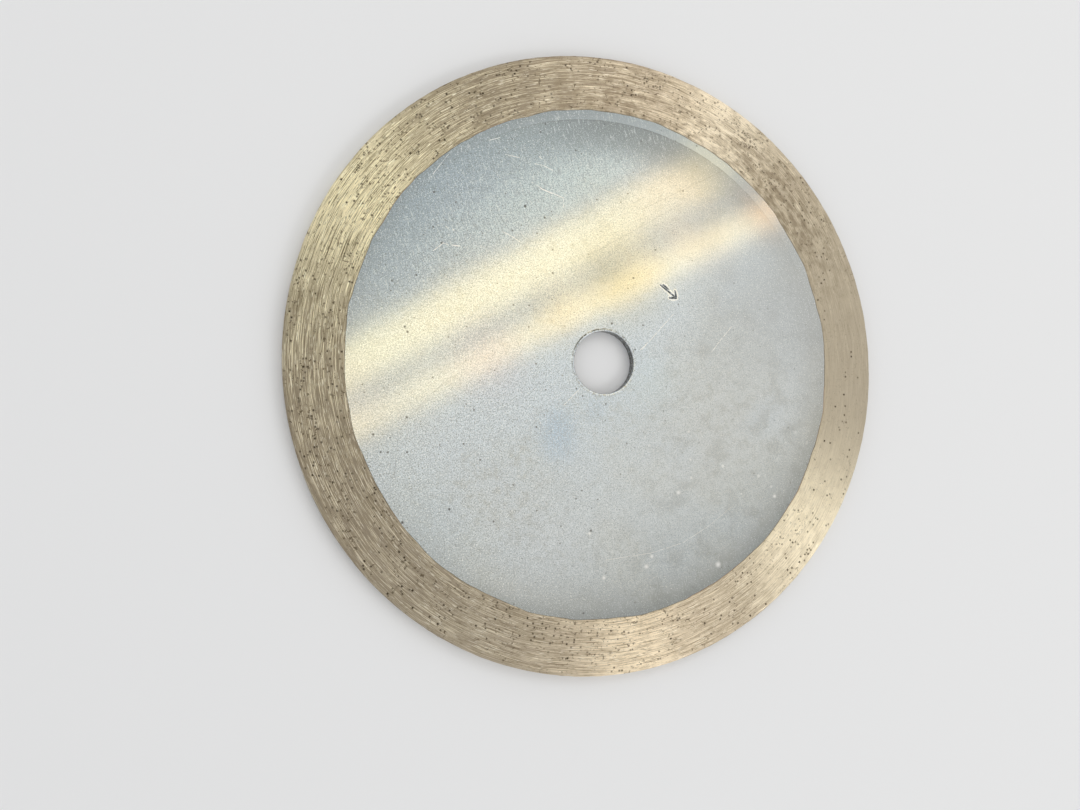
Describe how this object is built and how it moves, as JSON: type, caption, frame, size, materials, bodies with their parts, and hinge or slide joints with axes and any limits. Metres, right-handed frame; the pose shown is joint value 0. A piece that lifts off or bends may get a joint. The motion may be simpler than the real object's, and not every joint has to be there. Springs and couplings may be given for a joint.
{
  "type": "diamond blade",
  "caption": "Flat round cutting blade: ground steel core with a central arbor bore and a wide continuous sintered diamond rim keyed and brazed round its edge.",
  "frame": {"origin": "centre of the arbor bore, in the middle of the blade's thickness", "axes": "+Z along the arbor axis, out of the marked face; +X and +Y in the plane of the blade"},
  "size_m": [0.125, 0.125, 0.0024],
  "materials": {
    "core_steel": "ground and fine-blasted steel with a thin blue-white passivated film, satin",
    "braze_copper": "copper-rich braze, dull, hidden but for its edge",
    "rim_bronze": "sintered bronze with dark diamond grit, dressed with fine concentric grinding streaks"
  },
  "bodies": {
    "root": {"steel_core": "core_steel", "braze_foil": "braze_copper", "diamond_rim": "rim_bronze"}
  },
  "joints": []
}
